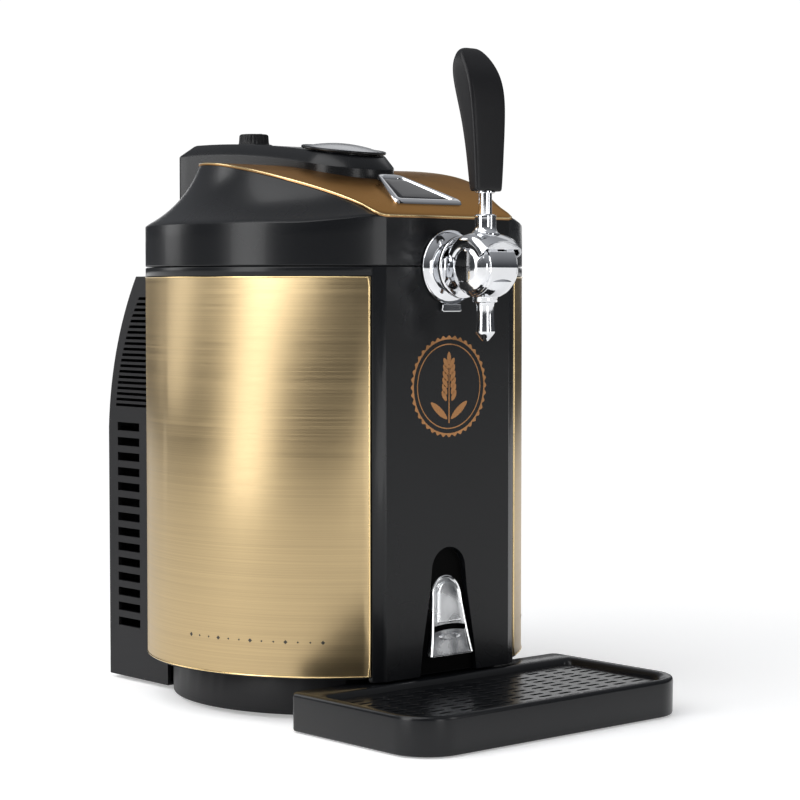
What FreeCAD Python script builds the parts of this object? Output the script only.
import FreeCAD, Part
import math
import os
import re

import Sketcher

# Countertop keg dispenser: a cooled chamber for a small keg in a round body, a hinged lid with
# controls on top, a ball tap with a paddle handle, a bottle opener and a drip tray.
# Frame: millimetres, +Z up, the tap faces -Y. The origin is on the table below the middle of
# the whole object. The helpers work from the axis of the round body, which stands behind it.

doc = FreeCAD.newDocument("KegDispenser")
sheet = doc.addObject("Spreadsheet::Sheet", "Dims")

DIMENSIONS = {
    # round body
    "axis_offset": 41.0,
    "body_radius": 140.0,
    "skin_gauge": 1.15,
    "wall": 3.0,
    "seam_height": 317.5,
    "seam_gap": 0.6,
    "shell_floor": 31.5,
    "front_plane": -127.3,
    "panel_back": -118.8,
    "front_half_width": 67.7,
    "side_bottom": 32.7,
    "side_top": 310.5,
    "side_front_angle": 60.8,
    "side_sweep": 108.6,
    # plinth and feet
    "plinth_radius": 121.0,
    "plinth_front": -98.0,
    "plinth_rear": 84.0,
    "foot_height": 3.0,
    "foot_radius": 9.0,
    "foot_spread": 75.0,
    "foot_front": -60.0,
    "foot_rear": 120.0,
    # cooled chamber
    "chamber_radius": 88.0,
    "tub_gauge": 2.0,
    "chamber_floor": 54.0,
    "collar_floor": 305.0,
    "cooler_height": 170.0,
    "cooler_half": 30.0,
    "fan_radius": 36.0,
    "fan_front": 141.0,
    "fan_depth": 14.0,
    # rear housing
    "rear_half_width": 94.0,
    "rear_plane": 161.0,
    "rear_top": 311.0,
    "tower_half_width": 41.0,
    "vent_front": 120.0,
    "vent_rear": 149.0,
    "vent_bottom": 42.0,
    "vent_pitch": 11.6,
    "vent_opening": 6.4,
    "louver_bottom": 211.5,
    "louver_pitch": 4.3,
    "louver_opening": 2.2,
    # lid
    "ring_top": 348.0,
    "deck_crown": 394.0,
    "deck_radius": 403.9,
    "deck_centre": 50.0,
    "sheet_gauge": 2.0,
    "spine_half_width": 37.5,
    "spine_front": -11.0,
    "spine_rear": 148.0,
    "spine_crown": 413.0,
    "spine_radius": 1010.0,
    "spine_centre": 130.0,
    "cap_radius": 31.6,
    "cap_tilt": 8.0,
    "knob_radius": 12.0,
    "knob_bottom": 412.9,
    "knob_top": 421.5,
    "knob_place": 98.0,
    "hinge_place": 153.0,
    "hinge_height": 322.0,
    "hinge_pin_radius": 3.0,
    "running_gap": 0.06,
    # tap
    "tap_height": 317.0,
    "ball_place": -164.5,
    "ball_radius": 20.5,
    "cap_shell_outer": 22.7,
    "flange_radius": 26.5,
    "flange_gauge": 7.0,
    "shank_radius": 8.0,
    "stem_radius": 4.5,
    "sleeve_radius": 7.5,
    "spout_tip": 265.7,
    # bottle opener
    "opener_half_width": 20.3,
    "opener_bottom": 43.0,
    "opener_top": 99.0,
    "opener_front": -131.7,
    # drip tray
    "tray_half_width": 127.0,
    "tray_front": -243.0,
    "tray_rear": -106.0,
    "tray_bottom": 1.0,
    "tray_top": 27.5,
    "tray_corner": 30.0,
    "well_half_width": 116.0,
    "well_front": -234.3,
    "well_rear": -131.6,
    "grille_top": 23.4,
    "grille_gauge": 3.4,
    "slit_pitch_long": 18.4,
    "slit_pitch_short": 8.6,
    "slit_length": 11.5,
    "slit_width": 3.0,
}

for row, (alias, number) in enumerate(DIMENSIONS.items(), start=1):
    sheet.set("A%d" % row, alias.replace("_", " "))
    sheet.set("B%d" % row, str(number))
    sheet.setAlias("B%d" % row, alias)
doc.recompute()


class Size:
    """A number together with the spreadsheet expression that gives it."""

    def __init__(self, number, text):
        self.number = number
        self.text = text

    def __add__(self, other):
        return joined(self, "+", other, self.number + plain(other))

    def __radd__(self, other):
        return joined(other, "+", self, plain(other) + self.number)

    def __sub__(self, other):
        return joined(self, "-", other, self.number - plain(other))

    def __rsub__(self, other):
        return joined(other, "-", self, plain(other) - self.number)

    def __mul__(self, other):
        return joined(self, "*", other, self.number * plain(other))

    def __rmul__(self, other):
        return joined(other, "*", self, plain(other) * self.number)

    def __truediv__(self, other):
        return joined(self, "/", other, self.number / plain(other))

    def __neg__(self):
        return joined(0, "-", self, -self.number)


def plain(value):
    return value.number if isinstance(value, Size) else float(value)


def words(value):
    return value.text if isinstance(value, Size) else "(%.6f)" % value


def joined(left, sign, right, number):
    return Size(number, "(%s %s %s)" % (words(left), sign, words(right)))


def root(value):
    return Size(math.sqrt(plain(value)), "sqrt(%s)" % words(value))


class Dimensions:
    """Every cell of the sheet as an attribute of the same name."""

    def __getattr__(self, alias):
        return Size(float(getattr(sheet, alias)), "Dims.%s" % alias)


D = Dimensions()
V = FreeCAD.Vector

TURN_TO = {
    "Z": FreeCAD.Rotation(),
    "Y": FreeCAD.Rotation(V(1, 0, 0), -90),
    "X": FreeCAD.Rotation(V(0, 1, 0), 90),
}
PLANE_ROLE = {"XY": "XY_Plane", "XZ": "XZ_Plane", "YZ": "YZ_Plane"}
nodes = []
seat = {}


def bind(item, name, value):
    if isinstance(value, Size):
        item.setExpression(name, value.text)
        return
    setattr(item, name, value)


def place(item, x, y, z, turn=None):
    """Put an object at x, y, z with an optional rotation."""
    item.Placement = FreeCAD.Placement(V(plain(x), plain(y), plain(z)), turn or FreeCAD.Rotation())
    for axis, value in zip("xyz", (x, y, z)):
        if isinstance(value, Size):
            item.setExpression("Placement.Base.%s" % axis, value.text)
    seat[item.Name] = y
    return item


def box(x0, x1, y0, y1, z0, z1):
    item = doc.addObject("Part::Box", "Box")
    bind(item, "Length", x1 - x0)
    bind(item, "Width", y1 - y0)
    bind(item, "Height", z1 - z0)
    return place(item, x0, y0, z0)


def cylinder(radius, low, high, a=0.0, b=0.0, axis="Z"):
    """A cylinder between two levels of its axis; a and b are its other two coordinates."""
    item = doc.addObject("Part::Cylinder", "Cylinder")
    bind(item, "Radius", radius)
    bind(item, "Height", high - low)
    spots = {"Z": (a, b, low), "Y": (a, low, b), "X": (low, a, b)}
    return place(item, *spots[axis], turn=TURN_TO[axis])


def cone(radius_low, radius_high, low, high, a=0.0, b=0.0, axis="Z"):
    item = doc.addObject("Part::Cone", "Cone")
    bind(item, "Radius1", radius_low)
    bind(item, "Radius2", radius_high)
    bind(item, "Height", high - low)
    spots = {"Z": (a, b, low), "Y": (a, low, b), "X": (low, a, b)}
    return place(item, *spots[axis], turn=TURN_TO[axis])


def ball(radius, x, y, z):
    item = doc.addObject("Part::Sphere", "Sphere")
    bind(item, "Radius", radius)
    return place(item, x, y, z)


def fuse(*items):
    item = doc.addObject("Part::MultiFuse", "Fusion")
    item.Shapes = list(items)
    item.Refine = True
    return place(item, 0.0, 0.0, 0.0)


def common(*items):
    item = doc.addObject("Part::MultiCommon", "Common")
    item.Shapes = list(items)
    return place(item, 0.0, 0.0, 0.0)


def cut(item, *tools):
    """The item without the tools."""
    result = doc.addObject("Part::Cut", "Cut")
    result.Base = item
    result.Tool = tools[0] if len(tools) == 1 else fuse(*tools)
    return place(result, 0.0, 0.0, 0.0)


def together(*items):
    """Separate solids kept in one object."""
    item = doc.addObject("Part::Compound", "Group")
    item.Links = list(items)
    return place(item, 0.0, 0.0, 0.0)


def sketch(body, plane, offset, path):
    """A closed outline through the points of path; ("arc", u, v) is a point on an arc."""
    flat = body.newObject("Sketcher::SketchObject", "Outline")
    support = [one for one in body.Origin.OriginFeatures if one.Role == PLANE_ROLE[plane]][0]
    flat.AttachmentSupport = [(support, "")]
    flat.MapMode = "FlatFace"
    if isinstance(offset, Size):
        flat.setExpression("AttachmentOffset.Base.z", offset.text)
    corners = [spot for spot in path if spot[0] != "arc"]
    here = -1
    pieces = []
    for spot in path:
        if spot[0] == "arc":
            pieces[-1] = ("arc", here, spot)
            continue
        here += 1
        pieces.append(("line", here, None))
    count = len(pieces)
    vectors = [V(plain(u), plain(v), 0) for u, v in corners]
    for kind, start, spot in pieces:
        first = vectors[start]
        last = vectors[(start + 1) % count]
        if kind == "line":
            flat.addGeometry(Part.LineSegment(first, last), False)
            continue
        middle = V(plain(spot[1]), plain(spot[2]), 0)
        if (middle - first).cross(last - middle).z < 0:
            first, last = last, first
        flat.addGeometry(Part.Arc(first, middle, last), False)
    starts = []
    for kind, start, spot in pieces:
        curve = flat.Geometry[start]
        begins = (curve.StartPoint - vectors[start]).Length < 1e-4
        starts.append((1, 2) if begins else (2, 1))
    for index in range(count):
        after = (index + 1) % count
        flat.addConstraint(
            Sketcher.Constraint("Coincident", index, starts[index][1], after, starts[after][0]))
    for index, (u, v) in enumerate(corners):
        pin(flat, index, starts[index][0], u, v)
    for kind, start, spot in pieces:
        if kind == "arc":
            middle = V(plain(spot[1]), plain(spot[2]), 0)
            helper = flat.addGeometry(Part.Point(middle), True)
            pin(flat, helper, 1, spot[1], spot[2])
            flat.addConstraint(Sketcher.Constraint("PointOnObject", helper, 1, start))
    return flat


def pin(flat, geometry, end, u, v):
    """Hold one sketch point at u, v from the sketch origin."""
    for kind, value in (("DistanceX", u), ("DistanceY", v)):
        index = flat.addConstraint(Sketcher.Constraint(kind, -1, 1, geometry, end, plain(value)))
        if isinstance(value, Size):
            flat.setExpression("Constraints[%d]" % index, value.text)


def prism(plane, path, low, high):
    """An outline in the XY, XZ or YZ plane padded between two levels of the third axis."""
    body = doc.addObject("PartDesign::Body", "Prism")
    offset = -high if plane == "XZ" else low
    flat = sketch(body, plane, offset if isinstance(offset, Size) else Size(offset, words(offset)),
                  path)
    pad = body.newObject("PartDesign::Pad", "Pad")
    pad.Profile = flat
    bind(pad, "Length", high - low)
    body.Tip = pad
    return place(body, 0.0, 0.0, 0.0)


def turned(path, a=0.0, b=0.0, c=0.0, axis="Z"):
    """An outline of (radius, level) points turned about Z, then laid along another axis."""
    body = doc.addObject("PartDesign::Body", "Turned")
    flat = sketch(body, "XZ", 0.0, path)
    spin = body.newObject("PartDesign::Revolution", "Revolution")
    spin.Profile = flat
    spin.ReferenceAxis = (flat, ["V_Axis"])
    spin.Angle = 360.0
    body.Tip = spin
    return place(body, a, b, c, TURN_TO[axis])


def rounded(u0, u1, v0, v1, radius_low, radius_high):
    """A rectangle whose corners at v0 and at v1 have their own radii."""
    ease = 1.0 - math.sqrt(0.5)
    return [
        (u0 + radius_low, v0),
        (u1 - radius_low, v0),
        ("arc", u1 - radius_low * ease, v0 + radius_low * ease),
        (u1, v0 + radius_low),
        (u1, v1 - radius_high),
        ("arc", u1 - radius_high * ease, v1 - radius_high * ease),
        (u1 - radius_high, v1),
        (u0 + radius_high, v1),
        ("arc", u0 + radius_high * ease, v1 - radius_high * ease),
        (u0, v1 - radius_high),
        (u0, v0 + radius_low),
        ("arc", u0 + radius_low * ease, v0 + radius_low * ease),
    ]


def node(item, name):
    """Name a finished piece and move it from the body axis to the object's own frame."""
    item.Label = name
    moved = seat[item.Name] + D.axis_offset
    item.setExpression("Placement.Base.y", moved.text)
    nodes.append(item)
    return item


# ---- shared volumes ----

EASY = 0.3
BIG = 400.0


def round_body(radius, front, low, high):
    """A cylinder about the body axis with a flat front."""
    return common(cylinder(radius, low, high), box(-BIG, BIG, front, D.body_radius + 50, low, high))


def deck_volume(drop):
    """Everything under the lid's deck, lowered by drop: an arc in front, a level behind."""
    axis_height = D.deck_crown - D.deck_radius
    arch = cylinder(D.deck_radius - drop, Size(-BIG, "(-400)"), BIG, D.deck_centre, axis_height, "X")
    level = box(-BIG, BIG, D.deck_centre, D.body_radius + 60, 0.0, D.deck_crown - drop)
    return fuse(arch, level)


def deck_height(y):
    """The deck's level in front of its crown."""
    reach = y - D.deck_centre
    return D.deck_crown - D.deck_radius + root(D.deck_radius * D.deck_radius - reach * reach)


def lid_volume(inset):
    """The lid's ring and its hollow shoulder, inset all round, before the deck is cut."""
    ring = D.body_radius - inset
    low = D.seam_height + D.seam_gap / 2
    shoulder = turned([
        (0.0, low), (ring, low), (ring, D.ring_top), ("arc", ring - 28.5, D.ring_top + 23.3),
        (ring - 40.4, D.ring_top + 45.1), (ring - 43.0, D.ring_top + 56.0), (0.0, D.ring_top + 56.0)])
    return common(shoulder, box(-BIG, BIG, D.front_plane + inset, BIG, 0.0, 500.0))


def spine_volume(inset):
    """The raised cover along the middle of the lid, inset all round."""
    half = D.spine_half_width - inset
    base = D.hinge_height + 8
    outline = fuse(
        box(-half, half, D.spine_front, D.spine_rear - inset, base, 430.0),
        cylinder(half, base, 430.0, 0.0, D.spine_front))
    crown = D.spine_crown - inset
    arch = cylinder(D.spine_radius, Size(-BIG, "(-400)"), BIG, D.spine_centre,
                    crown - D.spine_radius, "X")
    return common(outline, arch)


# ---- plinth and feet ----

low_plinth = D.foot_height
inner_plinth = D.plinth_radius - D.wall - 0.5
plinth = common(
    cylinder(D.plinth_radius, low_plinth, D.shell_floor),
    box(-BIG, BIG, D.plinth_front, D.plinth_rear - EASY, low_plinth, D.shell_floor))
plinth_room = common(
    cylinder(inner_plinth, 0.0, D.shell_floor - D.wall),
    box(-BIG, BIG, D.plinth_front + D.wall, D.plinth_rear - D.wall, 0.0, D.shell_floor - D.wall))
node(cut(plinth, plinth_room), "base_plinth")

plate_top = low_plinth + 2.5
node(common(
    cylinder(inner_plinth - EASY, low_plinth, plate_top),
    box(-BIG, BIG, D.plinth_front + D.wall + EASY, D.plinth_rear - D.wall - EASY, low_plinth,
        plate_top)), "base_plate")

feet = []
for across in (-1, 1):
    for along in (D.foot_front, D.foot_rear):
        feet.append(cone(D.foot_radius - 1, D.foot_radius, 0.0, D.foot_height,
                         D.foot_spread * across, along))
node(together(*feet), "rubber_feet")

# ---- body shell, trim and panels ----

shell_outer = D.body_radius - D.skin_gauge
shell_top = D.seam_height - D.seam_gap / 2
shell = cut(
    round_body(shell_outer, D.panel_back, D.shell_floor, shell_top),
    round_body(shell_outer - D.wall, D.panel_back + D.wall, D.shell_floor + D.wall, 400.0),
    box(-60.0, 60.0, 100.0, 150.0, 110.0, 235.0),
    cylinder(D.shank_radius, D.panel_back - 2, D.panel_back + 5, 0.0, D.tap_height, "Y"),
    box(-D.shank_radius, D.shank_radius, D.panel_back - 2, D.panel_back + 5, D.tap_height, 330.0))
node(shell, "body_shell")

trim = cut(
    cylinder(D.body_radius, D.side_top + EASY, shell_top),
    cylinder(shell_outer, 300.0, 330.0),
    box(-D.front_half_width, D.front_half_width, -BIG, D.panel_back + 10, 300.0, 330.0),
    box(-D.tower_half_width - 1, D.tower_half_width + 1, 100.0, 200.0, 300.0, 330.0))
node(trim, "upper_trim_ring")

for side, name in ((0, "side_panel_right"), (1, "side_panel_left")):
    skin = []
    for radius in (D.body_radius, shell_outer):
        sector = cylinder(radius, D.side_bottom, D.side_top)
        bind(sector, "Angle", D.side_sweep)
        start = -D.side_front_angle if side == 0 else 180 + D.side_front_angle - D.side_sweep
        sector.Placement.Rotation = FreeCAD.Rotation(V(0, 0, 1), start.number)
        sector.setExpression("Placement.Rotation.Angle", start.text)
        skin.append(sector)
    node(cut(*skin), name)

pocket_half = 16.0
pocket_top = 119.0
pocket = prism("XZ", [
    (-pocket_half - 12, 20.0), (pocket_half + 12, 20.0), (pocket_half + 8.5, 50.0),
    (pocket_half + 1.6, 88.0), (pocket_half, 103.0), ("arc", 0.0, pocket_top),
    (-pocket_half, 103.0), (-pocket_half - 1.6, 88.0), (-pocket_half - 8.5, 50.0)],
    D.front_plane - 5, D.front_plane + 5.5)
front = cut(
    common(cylinder(D.body_radius, 29.0, shell_top),
           box(-D.front_half_width + EASY, D.front_half_width - EASY, D.front_plane, D.panel_back,
               29.0, shell_top)),
    pocket,
    cylinder(D.shank_radius, -150.0, -100.0, 0.0, D.tap_height, "Y"),
    box(-D.shank_radius, D.shank_radius, -150.0, -100.0, D.tap_height, 330.0))
node(front, "front_panel")

# ---- bottle opener ----

opener_seat = D.front_plane + 5.5
half = D.opener_half_width
foot = D.opener_bottom
crest = D.opener_top
hood = common(
    prism("XZ", [
        (-half, foot), (half, foot), (half - 3.3, foot + 19), (half - 6.4, crest - 14.5),
        ("arc", 0.0, crest), (-half + 6.4, crest - 14.5), (-half + 3.3, foot + 19)],
        D.opener_front, opener_seat),
    prism("YZ", [
        (D.opener_front, foot), (opener_seat, foot), (opener_seat, crest),
        (opener_seat - 2.2, crest)], -BIG, BIG))
mouth = common(
    prism("XZ", [
        (-half + 2.6, foot - 1), (half - 2.6, foot - 1), (half - 8.5, foot + 28),
        ("arc", 0.0, foot + 33), (-half + 8.5, foot + 28)], D.opener_front, opener_seat),
    prism("YZ", [
        (D.opener_front + 2.5, foot - 1), (opener_seat - 2.0, foot - 1),
        (opener_seat - 2.0, foot + 33), (opener_seat - 3.2, foot + 33)], -BIG, BIG))
window = prism("XZ", [
    (-half + 5.0, foot + 17), ("arc", 0.0, foot + 16), (half - 5.0, foot + 17),
    (half - 5.4, foot + 20), ("arc", 0.0, foot + 20.6), (-half + 5.4, foot + 20)],
    D.opener_front - 2, opener_seat - 4.0)
screw_height = foot + 10
screw_seat = cylinder(2.6, opener_seat - 2.5, opener_seat + 2, 0.0, screw_height, "Y")
node(cut(hood, mouth, window, screw_seat), "bottle_opener")
node(cylinder(2.5, opener_seat - 2.0, opener_seat, 0.0, screw_height, "Y"), "opener_screw")

# ---- cooled chamber ----

tub_outer = D.chamber_radius + D.tub_gauge
tub = cut(cylinder(tub_outer, D.chamber_floor - D.tub_gauge, D.collar_floor),
          cylinder(D.chamber_radius, D.chamber_floor, 400.0))
node(tub, "keg_tub")
collar_notch = box(-18.0, 18.0, -150.0, -100.0, 280.0, 330.0)
node(cut(round_body(shell_outer - D.wall - EASY, D.panel_back + D.wall + EASY, D.collar_floor,
                    D.collar_floor + 3),
         cylinder(D.chamber_radius, 300.0, 320.0), collar_notch), "chamber_collar")
foam_top = D.collar_floor - EASY
node(cut(round_body(124.0, D.panel_back + 6, D.chamber_floor, foam_top),
         cylinder(tub_outer + EASY, 40.0, 320.0), collar_notch,
         box(-48.0, 48.0, 80.0, 140.0, 105.0, 240.0)), "chamber_insulation")
node(fuse(box(-20.0, 20.0, -60.0, 60.0, D.shell_floor + D.wall, D.chamber_floor - D.tub_gauge),
          box(-60.0, 60.0, -20.0, 20.0, D.shell_floor + D.wall, D.chamber_floor - D.tub_gauge)),
     "tub_support")

cold_half = D.cooler_half
cooler = D.cooler_height
node(cut(box(-cold_half, cold_half, 60.0, 100.0, cooler - 55, cooler + 55),
         cylinder(tub_outer, 0.0, 400.0)), "cold_plate")
node(box(-20.0, 20.0, 100.0, 104.0, cooler - 20, cooler + 20), "thermoelectric_module")
fins = [box(-42.0, 42.0, 104.0, 110.0, cooler - 50, cooler + 50)]
for index in range(12):
    across = -41.0 + index * 7.3
    fins.append(box(across, across + 1.6, 109.0, 139.0, cooler - 50, cooler + 50))
node(fuse(*fins), "heat_sink")

fan_rear = D.fan_front + D.fan_depth
bore = D.fan_radius + 1.5
frame = cut(box(-40.0, 40.0, D.fan_front, fan_rear, cooler - 40, cooler + 40),
            cylinder(bore, 130.0, 165.0, 0.0, cooler, "Y"))
spider = [cylinder(14.0, fan_rear - 3, fan_rear, 0.0, cooler, "Y")]
for bar in range(2):
    arm = box(-39.0, 39.0, fan_rear - 3, fan_rear, cooler - 2, cooler + 2)
    arm = common(arm, cylinder(39.0, 130.0, 165.0, 0.0, cooler, "Y"))
    arm.Placement = FreeCAD.Placement(V(), FreeCAD.Rotation(V(0, 1, 0), 45 + 90 * bar),
                                      V(0, 0, cooler.number))
    spider.append(arm)
spider.append(cylinder(2.5, D.fan_front + 2, fan_rear - 1, 0.0, cooler, "Y"))
node(fuse(frame, *spider), "fan_frame")

hub = cut(cylinder(13.0, D.fan_front, fan_rear - 4, 0.0, cooler, "Y"),
          cylinder(2.5 + D.running_gap, 130.0, 165.0, 0.0, cooler, "Y"))
blades = []
for index in range(7):
    blade = box(11.0, D.fan_radius, -5.0, -3.4, -7.0, 7.0)
    pitch = FreeCAD.Rotation(V(1, 0, 0), 35)
    spin = FreeCAD.Rotation(V(0, 1, 0), index * 360 / 7)
    blade.Placement = FreeCAD.Placement(V(), spin * pitch).multiply(
        FreeCAD.Placement(V(11.0, -0.8, -5.5), FreeCAD.Rotation()))
    bind(blade, "Length", D.fan_radius - 11)
    blade.Width = 1.6
    blade.Height = 11.0
    blades.append(blade)
swirl = fuse(*blades)
place(swirl, 0.0, D.fan_front + 5, cooler)
node(fuse(hub, swirl), "fan_rotor")

node(box(-45.0, 45.0, -50.0, 40.0, plate_top, plate_top + 20), "power_supply")
board = [box(55.0, 100.0, -30.0, 35.0, plate_top + 4, plate_top + 5.6)]
for x in (58.0, 97.0):
    for y in (-27.0, 32.0):
        board.append(cylinder(2.5, plate_top, plate_top + 4.5, x, y))
board.append(box(62.0, 78.0, -20.0, -4.0, plate_top + 5, plate_top + 16))
board.append(cylinder(6.0, plate_top + 5, plate_top + 18, 88.0, 12.0))
node(fuse(*board), "control_board")

# ---- rear housing with its vents and the hinge tower ----

rear = D.rear_plane
rear_half = D.rear_half_width
top_setback = 38.0


def rear_profile(inset, front):
    """Side outline of the rear housing: upright below, curving forward above."""
    return [
        (front, D.foot_height + inset), (rear - inset, D.foot_height + inset),
        (rear - inset, 195.0), ("arc", rear - 9.5 - inset, 250.0),
        (rear - top_setback - inset, D.rear_top - inset), (front, D.rear_top - inset)]


tower_half = D.tower_half_width
tower_top = D.hinge_height - 6.5
housing = fuse(
    prism("YZ", rear_profile(0.0, D.plinth_rear), -rear_half, rear_half),
    box(-tower_half, tower_half, 120.0, rear - 1, 150.0, tower_top))
room = fuse(
    prism("YZ", rear_profile(D.wall, D.plinth_rear - 5), -rear_half + D.wall, rear_half - D.wall),
    box(-tower_half + D.wall, tower_half - D.wall, 110.0, rear - 1 - D.wall, 150.0,
        tower_top - D.wall))
vents = []
for index in range(14):
    level = D.vent_bottom + D.vent_pitch * index
    vents.append(box(-BIG / 2, BIG / 2, D.vent_front, D.vent_rear, level, level + D.vent_opening))
louvers = []
for index in range(20):
    level = D.louver_bottom + D.louver_pitch * index
    louvers.append(box(-BIG / 2, BIG / 2, 108.0, 170.0, level, level + D.louver_opening))
louver_outline = prism("YZ", rear_profile(9.0, 110.0), Size(-BIG / 2, "(-200)"), BIG / 2)
louver_cut = cut(common(fuse(*louvers), louver_outline),
                 box(-tower_half - 2, tower_half + 2, 0.0, 200.0, 0.0, 400.0))
grille = []
for index in range(9):
    level = cooler - 34 + index * 8
    grille.append(box(-34.0, 34.0, rear - 5, rear + 5, level, level + 4))
inlet_x = -55.0
inlet_z = 24.0
switch_x = 20.0
ears = []
for across in (-1, 1):
    for near in (15.0, 35.0):
        x0 = near if across > 0 else -near - 6
        ears.append(cylinder(6.8, Size(x0, words(x0)), x0 + 6, D.hinge_place, D.hinge_height, "X"))
        ears.append(box(x0, x0 + 6.0, D.hinge_place - 6, D.hinge_place + 6.8, tower_top - 4,
                        D.hinge_height))
hollow = cut(
    housing, room,
    cylinder(shell_outer, D.shell_floor, 400.0),
    cylinder(D.body_radius + EASY, D.side_bottom - 1.2, D.side_top + 8),
    box(-BIG, BIG, 0.0, D.plinth_rear, 0.0, 400.0),
    *vents, louver_cut, *grille,
    box(inlet_x - 15.3, inlet_x + 15.3, rear - 5, rear + 5, inlet_z - 11.3, inlet_z + 11.3),
    box(switch_x - 11, switch_x + 11, rear - 5, rear + 5, inlet_z - 8, inlet_z + 8))
pin_bore = D.hinge_pin_radius
hinge_bore = cylinder(pin_bore, Size(-60.0, "(-60)"), 60.0, D.hinge_place, D.hinge_height, "X")
node(cut(fuse(hollow, *ears), hinge_bore), "rear_housing")
pins = []
for x0 in (-41.0, 15.0):
    pins.append(cylinder(pin_bore, Size(x0, words(x0)), x0 + 26, D.hinge_place, D.hinge_height, "X"))
node(together(*pins), "hinge_pins")

inlet_front = rear - 18
socket = cut(
    box(inlet_x - 15, inlet_x + 15, inlet_front, rear, inlet_z - 11, inlet_z + 11),
    box(inlet_x - 12, inlet_x + 12, inlet_front + 3, rear + 5, inlet_z - 8, inlet_z + 8))
blades = []
for across, up in ((-6.5, 2.5), (0.0, -3.0), (6.5, 2.5)):
    x = inlet_x + across
    z = inlet_z + up
    blades.append(box(x - 1, x + 1, inlet_front + 3, rear - 3, z - 2, z + 2))
node(socket, "power_inlet")
node(together(*blades), "inlet_pins")
node(cut(box(switch_x - 10.8, switch_x + 10.8, rear - 14, rear, inlet_z - 7.8, inlet_z + 7.8),
         box(switch_x - 9, switch_x + 9, rear - 9, rear + 5, inlet_z - 6, inlet_z + 6)),
     "switch_bezel")
rocker = prism("YZ", [
    (rear - 5.5, inlet_z - 5.2), (rear - 1.6, inlet_z - 5.2), (rear - 2.6, inlet_z),
    (rear - 1.6, inlet_z + 5.2), (rear - 5.5, inlet_z + 5.2)], switch_x - 8.5, switch_x + 8.5)
rocker_pivot = cylinder(1.2, switch_x - 8.9, switch_x + 8.9, rear - 4, inlet_z, "X")
node(fuse(rocker, rocker_pivot), "power_rocker")

# ---- lid ----

shoulder = cut(common(lid_volume(0.0), deck_volume(D.sheet_gauge)),
               common(lid_volume(D.wall), deck_volume(D.sheet_gauge + D.wall)))
notch = fuse(
    cylinder(D.shank_radius + 1, -150.0, -110.0, 0.0, D.tap_height, "Y"),
    box(-D.shank_radius - 1, D.shank_radius + 1, -150.0, -110.0, 300.0, D.tap_height))
node(cut(shoulder, notch), "lid_shell")
node(cut(common(lid_volume(0.0), deck_volume(0.0)), deck_volume(D.sheet_gauge)), "lid_top_panel")

spine = cut(spine_volume(0.0), spine_volume(D.wall - 0.5),
            common(lid_volume(0.0), deck_volume(0.0)))
cap_turn = FreeCAD.Rotation(V(1, 0, 0), D.cap_tilt.number)
cap_spot = D.spine_front
rise = D.spine_centre - cap_spot
cap_level = D.spine_crown - D.spine_radius + root(D.spine_radius * D.spine_radius - rise * rise)
cap_hole = cylinder(25.0, -12.0, 10.0)
place(cap_hole, 0.0, cap_spot, cap_level, cap_turn)
cap_hole.Placement = cap_hole.Placement.multiply(FreeCAD.Placement(V(0, 0, -12), FreeCAD.Rotation()))
cap_hole.setExpression("Placement.Base.y", None)
cap_hole.setExpression("Placement.Base.z", None)
knob_hole = cylinder(D.hinge_pin_radius + D.running_gap, 380.0, 430.0, 0.0, D.knob_place)
spine = cut(spine, cap_hole, knob_hole)
node(spine, "lid_spine")

cap = turned([
    (0.0, -5.0), (24.0, -5.0), (24.0, 0.4), (D.cap_radius, 0.4), (D.cap_radius, 2.6),
    ("arc", D.cap_radius / 2, 5.2), (3.0, 6.0), (0.0, 6.0)], 0.0, cap_spot, cap_level)
cap.Placement.Rotation = cap_turn
node(cap, "access_cap")

knob = turned([
    (0.0, D.knob_bottom - 9), (D.hinge_pin_radius, D.knob_bottom - 9),
    (D.hinge_pin_radius, D.knob_bottom), (D.knob_radius, D.knob_bottom),
    (D.knob_radius - 0.6, D.knob_top - 2), (D.knob_radius - 2.4, D.knob_top - 0.4),
    (0.0, D.knob_top)], 0.0, D.knob_place, 0.0)
node(knob, "pressure_knob")

display_front = -108.0
display_rear = -60.0


def display_outline(inset):
    """A blunt triangle with a round nose towards the rear."""
    half = 31.0 - inset
    front = display_front + inset
    rear = display_rear - inset
    return [
        (-half + 6, front), (half - 6, front), ("arc", half - 1.6, front + 2.2),
        (half, front + 8), (12.0, rear - 4), ("arc", 0.0, rear), (-12.0, rear - 4),
        (-half, front + 8), ("arc", -half + 1.6, front + 2.2)]


def display_solid(inset, lift):
    """The display housing up to a plane that tips towards the front."""
    front_height = deck_height(Size(display_front, "(-108)")) + 3 + lift
    rear_height = deck_height(Size(display_rear, "(-60)")) + 6 + lift
    tall = prism("XY", display_outline(inset), 330.0, 400.0)
    below = prism("YZ", [
        (-108.0, 320.0), (-60.0, 320.0), (-60.0, rear_height), (-108.0, front_height)],
        Size(-50.0, "(-50)"), 50.0)
    return common(tall, below)


bezel = cut(display_solid(0.0, 0.0), deck_volume(0.0), prism("XY", display_outline(5.0), 330.0, 410.0))
node(bezel, "display_bezel")
node(cut(display_solid(5.0, -1.2), deck_volume(0.0)), "display_window")

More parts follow.
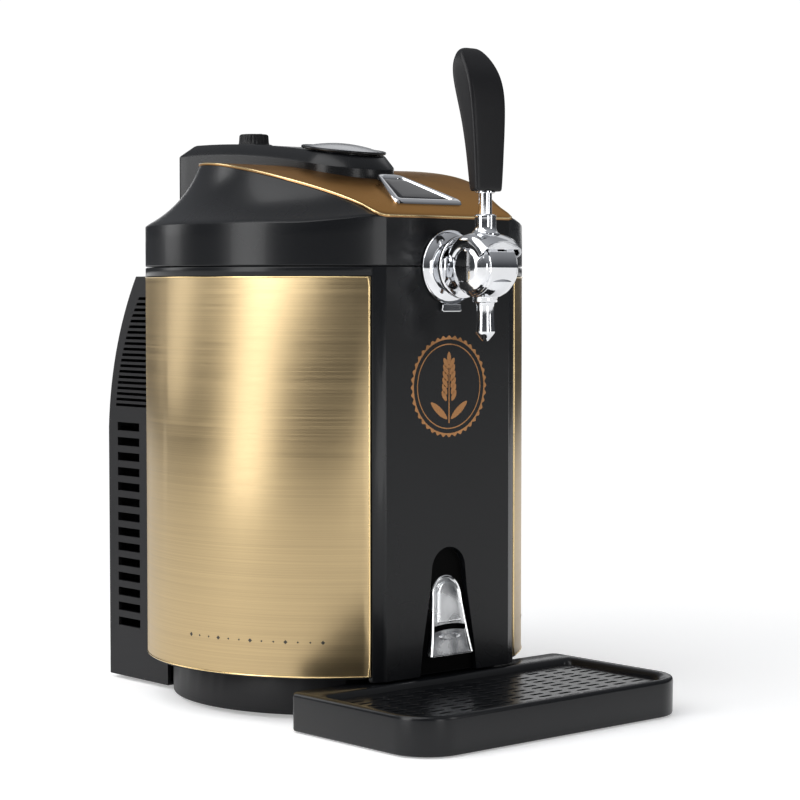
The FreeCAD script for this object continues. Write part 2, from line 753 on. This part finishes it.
liner_low = D.seam_height + 1.5
liner_notch = box(-19.0, 19.0, -140.0, -88.0, 290.0, 333.0)
node(cut(round_body(131.0, Size(-112.0, "(-112)"), liner_low, liner_low + 3), liner_notch), "lid_liner")
foam = common(cone(122.0, 96.0, liner_low + 3, 372.0),
              box(-BIG, BIG, -109.0, 200.0, 300.0, 400.0), deck_volume(D.sheet_gauge + D.wall + 2))
node(cut(foam, liner_notch), "lid_insulation")
node(cut(round_body(122.0, Size(-110.0, "(-110)"), D.collar_floor + 3.5, liner_low),
         round_body(116.0, Size(-104.0, "(-104)"), 300.0, 330.0), liner_notch), "lid_gasket")
lugs = []
for across in (-1, 1):
    x0 = 24.0 if across > 0 else -34.0
    lugs.append(cylinder(6.0, Size(x0, words(x0)), x0 + 10, D.hinge_place, D.hinge_height, "X"))
    lugs.append(box(x0, x0 + 10.0, 130.0, D.hinge_place, D.hinge_height - 3.8, D.hinge_height + 5.5))
lug_bore = cylinder(pin_bore + D.running_gap, Size(-60.0, "(-60)"), 60.0, D.hinge_place,
                    D.hinge_height, "X")
node(cut(fuse(*lugs), lug_bore, cylinder(D.body_radius + EASY / 5, 300.0, 340.0)), "lid_lugs")

# ---- tap ----

tap_z = D.tap_height
ball_y = D.ball_place
flange_face = D.front_plane - D.flange_gauge
bolt = D.shank_radius
node(turned([
    (bolt, EASY), (D.flange_radius, EASY), (D.flange_radius, 3.0), ("arc", D.flange_radius - 2, 6.2),
    (D.flange_radius - 6, D.flange_gauge), (bolt, D.flange_gauge)], 0.0, D.front_plane, tap_z, "Y"),
    "tap_flange")
nodes[-1].Placement.Rotation = FreeCAD.Rotation(V(1, 0, 0), 90)
node(prism("XZ", [
    (-9.0, 285.5), (9.0, 285.5), (10.0, 288.0), (8.0, 291.3), ("arc", 0.0, 290.1), (-8.0, 291.3),
    (-10.0, 288.0)], D.front_plane - 3, D.front_plane), "flange_tab")
shank = cut(
    cylinder(bolt, flange_face - 4, -95.0, 0.0, tap_z, "Y"),
    cylinder(4.5, -200.0, -80.0, 0.0, tap_z, "Y"))
guide = cut(cylinder(4.5, -130.0, -122.0, 0.0, tap_z, "Y"),
            cylinder(3.2 + D.running_gap, -200.0, -80.0, 0.0, tap_z, "Y"))
node(fuse(shank, guide), "tap_shank")
node(cut(cylinder(13.0, D.panel_back + D.wall, -108.0, 0.0, tap_z, "Y"),
         cylinder(bolt, -130.0, -80.0, 0.0, tap_z, "Y")), "shank_nut")
ring_end = flange_face - 8.0
collar = cut(
    fuse(cylinder(18.0, flange_face - 4.2, flange_face, 0.0, tap_z, "Y"),
         cylinder(22.0, ring_end, flange_face - 4.2, 0.0, tap_z, "Y")),
    cylinder(bolt, flange_face - 4, -100.0, 0.0, tap_z, "Y"),
    cylinder(4.6, -200.0, -100.0, 0.0, tap_z, "Y"))
node(collar, "tap_collar")

ball_solid = fuse(
    ball(D.ball_radius, 0.0, ball_y, tap_z),
    cylinder(10.0, ball_y, ring_end, 0.0, tap_z, "Y"),
    cylinder(15.0, tap_z - 19, tap_z, 0.0, ball_y))
lever_room = prism("YZ", [
    (ball_y + 4.5, tap_z - 2), (ball_y + 4.5, tap_z + 26), (ball_y - 22, tap_z + 17.5),
    (ball_y - 5, tap_z - 2)], Size(-5.2, "(-5.2)"), 5.2)
tap_body = cut(
    ball_solid, lever_room,
    box(-20.0, 20.0, -200.0, -140.0, 280.0, tap_z - 19),
    cylinder(7.0, Size(-5.2, "(-5.2)"), 5.2, ball_y, tap_z, "X"),
    cylinder(4.5, ball_y, -100.0, 0.0, tap_z, "Y"),
    cylinder(3.5, 280.0, tap_z, 0.0, ball_y),
    cylinder(2.5, Size(-17.0, "(-17)"), 17.0, ball_y, tap_z, "X"))
node(tap_body, "tap_body")
node(cylinder(2.5, Size(-17.0, "(-17)"), 17.0, ball_y, tap_z, "X"), "tap_pivot_pin")
spout_outline = [
    (3.5, 298.0), (8.5, 298.0), (8.5, 292.0), (6.4, 289.0), (6.0, 275.0), (7.0, 271.0),
    (5.2, D.spout_tip), (3.5, D.spout_tip)]
node(turned(spout_outline, 0.0, ball_y, 0.0), "tap_spout")
node(cylinder(3.2, ball_y + 9, -112.0, 0.0, tap_z, "Y"), "valve_plunger")

# ---- lever and handle ----

rod_top = 385.0
stem_y = ball_y
eye = cut(cylinder(6.2, Size(-5.0, "(-5)"), 5.0, stem_y, tap_z, "X"),
          cylinder(2.5 + D.running_gap, Size(-20.0, "(-20)"), 20.0, stem_y, tap_z, "X"))
rod = cut(cylinder(4.0, tap_z, 341.0, 0.0, stem_y),
          cylinder(5.0, Size(-20.0, "(-20)"), 20.0, stem_y, tap_z, "X"))
node(fuse(eye, rod, cylinder(D.stem_radius, 341.0, rod_top, 0.0, stem_y)), "lever_stem")
cap_low = tap_z + 10.5
saddle = cut(
    ball(D.cap_shell_outer, 0.0, stem_y, tap_z),
    ball(D.ball_radius + EASY, 0.0, stem_y, tap_z),
    box(-40.0, 40.0, -220.0, -120.0, 280.0, cap_low),
    cylinder(4.0, 300.0, 400.0, 0.0, stem_y))
node(saddle, "lever_cap")
sleeve_low = tap_z + 21.4
node(cut(
    turned([(0.0, sleeve_low), (10.5, sleeve_low), (8.0, sleeve_low + 3.4),
            (D.sleeve_radius, sleeve_low + 5), (D.sleeve_radius, 352.0), (6.0, 353.5), (0.0, 353.5)],
           0.0, stem_y, 0.0),
    ball(D.cap_shell_outer, 0.0, stem_y, tap_z),
    cylinder(4.0, 300.0, 341.0, 0.0, stem_y),
    cylinder(D.stem_radius, 341.0, 400.0, 0.0, stem_y)), "stem_sleeve")

HANDLE_SIDE = [
    (-170.3, 369.0), (-158.7, 369.0), (-156.8, 398.0), ("arc", -154.0, 420.0), (-148.0, 440.0),
    ("arc", -143.5, 452.0), (-144.5, 466.0), (-149.5, 469.0), ("arc", -160.0, 460.0),
    (-167.5, 440.0), ("arc", -170.0, 405.0)]
HANDLE_FRONT = [
    (-12.0, 369.0), (12.0, 369.0), (14.0, 398.0), ("arc", 16.3, 432.0), (14.7, 459.0),
    ("arc", 11.5, 466.5), (6.0, 469.0), (-6.0, 469.0), ("arc", -11.5, 466.5), (-14.7, 459.0),
    ("arc", -16.3, 432.0), (-14.0, 398.0)]
paddle = common(prism("YZ", HANDLE_SIDE, Size(-20.0, "(-20)"), 20.0),
                prism("XZ", HANDLE_FRONT, Size(-175.0, "(-175)"), -138.0))
node(cut(paddle, cylinder(D.stem_radius, 300.0, rod_top, 0.0, stem_y)), "tap_handle")

# ---- drip tray ----

tray_half = D.tray_half_width
corner = D.tray_corner
tray = cut(
    prism("XY", rounded(-tray_half, tray_half, D.tray_front, D.tray_rear, corner, corner / 6),
          D.tray_bottom, D.tray_top),
    prism("XY", rounded(-D.well_half_width, D.well_half_width, D.well_front, D.well_rear,
                        corner * 0.7, corner / 6), D.grille_top - D.grille_gauge, 60.0),
    prism("XY", rounded(-D.well_half_width + 4, D.well_half_width - 4, D.well_front + 4,
                        D.well_rear - 4, corner * 0.6, corner / 6), D.tray_bottom + 2.5, 60.0))
node(tray, "drip_tray")

plate_half = D.well_half_width - 0.6
plate = prism("XY", rounded(-plate_half, plate_half, D.well_front + 0.6, D.well_rear - 0.6,
                            corner * 0.66, corner / 7), D.grille_top - D.grille_gauge, D.grille_top)
slits = []
for row in range(10):
    y0 = D.well_front + 8.5 + D.slit_pitch_short * row
    for column in range(12):
        middle = (column - 5.5) * D.slit_pitch_long
        edge = 2.2 if row == 0 else 0.0
        x0 = middle - D.slit_length / 2 - edge
        slits.append(box(x0, x0 + D.slit_length + 2 * edge, y0, y0 + D.slit_width, 10.0, 40.0))
node(cut(plate, *slits), "drip_grille")


# ---- checks and files ----


def checked(items):
    """Stop if any object failed or any sub-part has no valid solid."""
    for item in doc.Objects:
        if "Invalid" in item.State or "Error" in item.State:
            raise RuntimeError("%s (%s) failed: %s" % (item.Name, item.Label, item.State))
    for item in items:
        if item.Shape.isNull() or not item.Shape.isValid() or not item.Shape.Solids:
            raise RuntimeError("%s has no valid shape" % item.Label)


doc.recompute()
checked(nodes)
os.makedirs("parts", exist_ok=True)
for item in nodes:
    item.Shape.exportStep(os.path.join("parts", "%s.step" % item.Label))
    print("%-24s %2d solids %10.0f mm3" % (item.Label, len(item.Shape.Solids), item.Shape.Volume))
print(len(nodes), "sub-parts")
